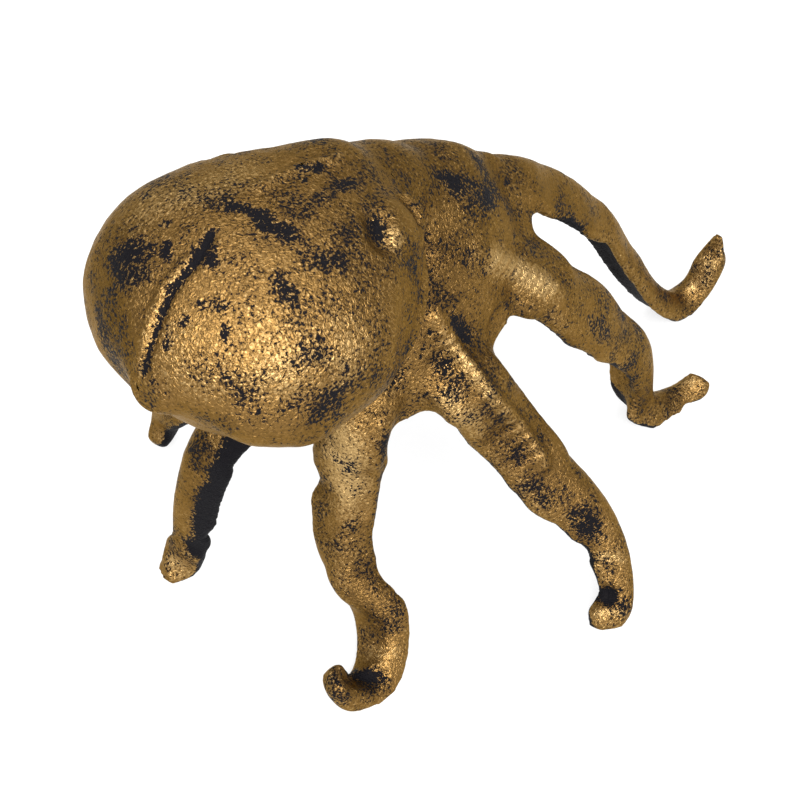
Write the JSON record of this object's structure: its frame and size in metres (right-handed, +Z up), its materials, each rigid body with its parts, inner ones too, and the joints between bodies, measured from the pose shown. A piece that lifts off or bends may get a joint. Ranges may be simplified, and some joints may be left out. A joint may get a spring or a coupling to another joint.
{
  "type": "octopus figurine",
  "caption": "Standing cast octopus figurine: a round hollow mantle with eyes behind a domed head, on channel-backed arms that arch down to curled feet.",
  "frame": {"origin": "on the table, under the middle of the figurine's length and width", "axes": "+Z up, +X the way the front arms reach, +Y to the figurine's left"},
  "size_m": [0.237, 0.1566, 0.154],
  "materials": {
    "antique_gold_casting": "sand-cast iron, painted black and dry-brushed with antique gold, grainy, the undersides left dark"
  },
  "bodies": {
    "root": {"arm_left_front": "antique_gold_casting", "arm_left_rear": "antique_gold_casting", "arm_left_side_front": "antique_gold_casting", "arm_left_side_rear": "antique_gold_casting", "arm_right_front": "antique_gold_casting", "arm_right_rear": "antique_gold_casting", "arm_right_side_front": "antique_gold_casting", "arm_right_side_rear": "antique_gold_casting", "head_and_web": "antique_gold_casting", "mantle_half_left": "antique_gold_casting", "mantle_half_right": "antique_gold_casting"}
  },
  "joints": []
}
